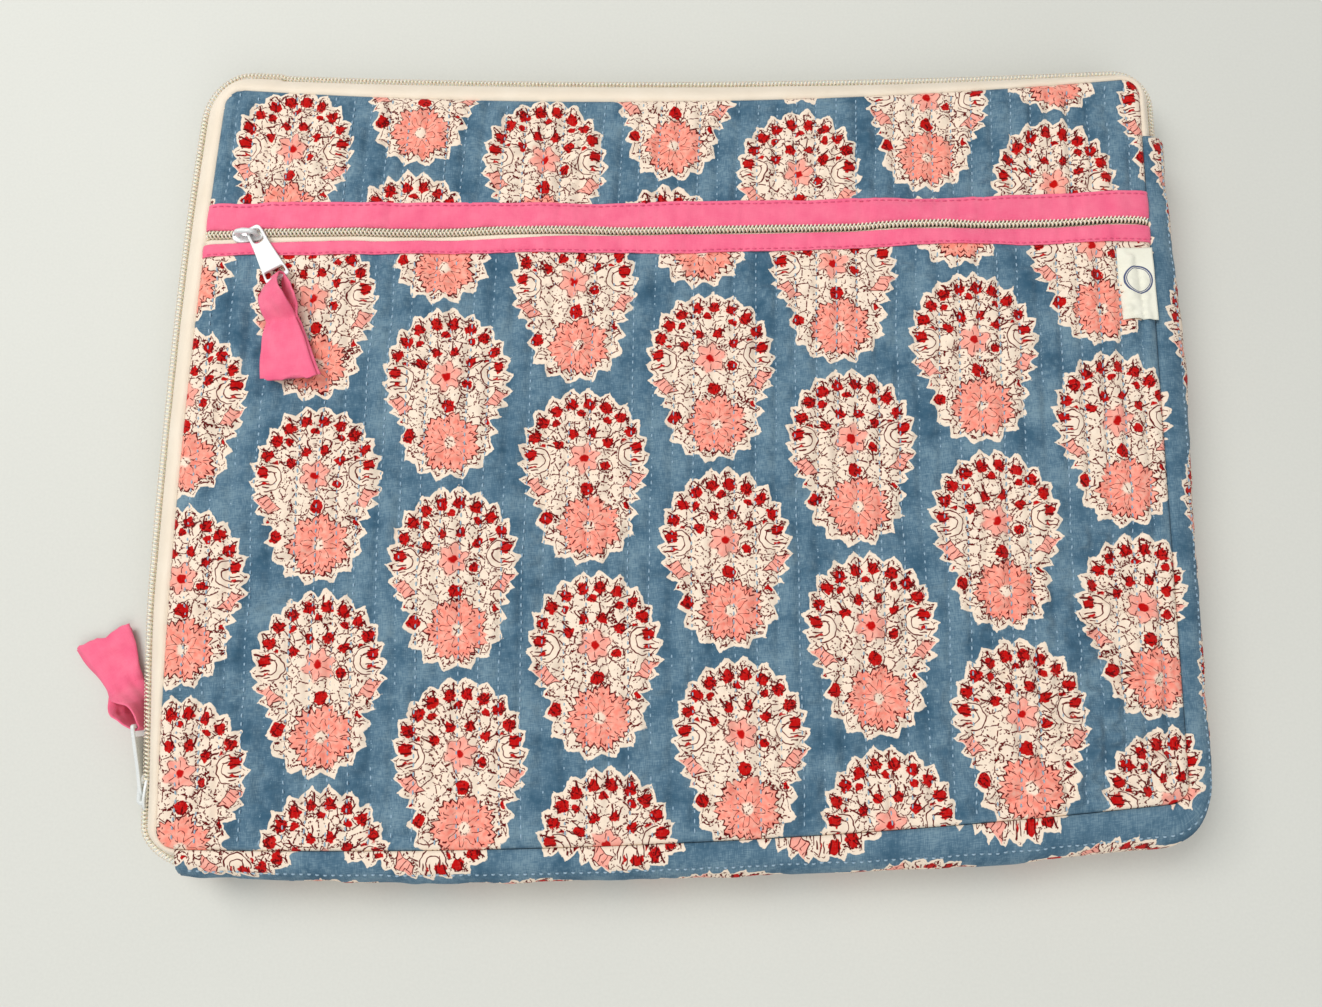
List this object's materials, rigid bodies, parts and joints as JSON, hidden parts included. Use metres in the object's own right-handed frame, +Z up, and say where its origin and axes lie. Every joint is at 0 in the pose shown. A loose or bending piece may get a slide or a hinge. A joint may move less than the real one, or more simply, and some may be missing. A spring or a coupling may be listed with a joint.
{
  "type": "quilted laptop sleeve",
  "caption": "Flat quilted cotton laptop sleeve with a coil zip round three sides, a zipped front pocket, bound pocket edges, zip pulls with cotton tails and a side label.",
  "frame": {"origin": "middle of the back panel's underside, the face that the sleeve lies on", "axes": "+X along the long side to the right, +Y towards the edge that opens, +Z up out of the front"},
  "size_m": [0.4297, 0.3166, 0.0321],
  "materials": {
    "printed_cotton": "quilted block-printed cotton",
    "pink_cotton": "plain cotton",
    "lining_cotton": "plain cotton",
    "batting": "soft foam and batting",
    "zip_tape": "woven polyester tape",
    "zip_coil": "nylon coil",
    "white_enamel": "gloss enamel on zinc",
    "spring_steel": "plain",
    "label_cotton": "folded cotton tape"
  },
  "bodies": {
    "sleeve": {"back_panel": "printed_cotton", "back_padding": "batting", "back_lining": "lining_cotton", "gusset": "printed_cotton", "gusset_lining": "lining_cotton", "front_lining": "lining_cotton", "front_padding": "batting", "pocket_lining": "lining_cotton", "pocket_front_panel": "printed_cotton", "front_upper_panel_base": "printed_cotton", "pocket_binding_upper": "pink_cotton", "pocket_binding_lower": "pink_cotton", "pocket_tape_upper": "zip_tape", "pocket_tape_lower": "zip_tape", "pocket_coil_upper": "zip_coil", "pocket_coil_lower": "zip_coil", "main_tape_back": "zip_tape", "main_coil_back": "zip_coil", "main_tape_front_side": "zip_tape", "main_coil_front_side": "zip_coil", "side_label": "label_cotton"},
    "flap": {"front_upper_panel": "printed_cotton", "flap_padding": "batting", "flap_lining": "lining_cotton", "main_tape_front_flap": "zip_tape", "main_coil_front_flap": "zip_coil"},
    "main_slider": {"main_slider_body": "white_enamel", "main_slider_crown": "white_enamel", "main_lock_spring": "spring_steel"},
    "main_tab": {"main_pull_tab": "white_enamel"},
    "main_tail": {"main_pull_tail": "pink_cotton"},
    "pocket_slider": {"pocket_slider_body": "white_enamel", "pocket_slider_crown": "white_enamel", "pocket_lock_spring": "spring_steel"},
    "pocket_tab": {"pocket_pull_tab": "white_enamel"},
    "pocket_tail": {"pocket_pull_tail": "pink_cotton"}
  },
  "joints": [
    {"name": "flap_fold", "type": "hinge", "parent": "sleeve", "child": "flap", "pos_m": [0, 0.109, 0.027], "axis": [0.9989, 0.0461, 0], "range_deg": [0, 100]},
    {"name": "main_slider_slide", "type": "slide", "parent": "sleeve", "child": "main_slider", "axis": [0, 1, 0], "range_m": [0, 0.214]},
    {"name": "main_tab_swing", "type": "hinge", "parent": "main_slider", "child": "main_tab", "pos_m": [-0.1998, -0.124, 0.0135], "axis": [0, 0, 1], "range_deg": [-5, 120]},
    {"name": "main_tail_swing", "type": "hinge", "parent": "main_tab", "child": "main_tail", "pos_m": [-0.20359, -0.1001, 0.0135], "axis": [0, 0, 1], "range_deg": [-12, 60]},
    {"name": "pocket_slider_slide", "type": "slide", "parent": "sleeve", "child": "pocket_slider", "axis": [1, 0, 0], "range_m": [0, 0.329]},
    {"name": "pocket_tab_swing", "type": "hinge", "parent": "pocket_slider", "child": "pocket_tab", "pos_m": [-0.1605, 0.083, 0.02995], "axis": [0, 0, 1], "range_deg": [-20, 50]},
    {"name": "pocket_tail_lift", "type": "hinge", "parent": "pocket_tab", "child": "pocket_tail", "pos_m": [-0.15083, 0.06481, 0.02995], "axis": [-0.8829, -0.4695, 0], "range_deg": [0, 100]}
  ]
}
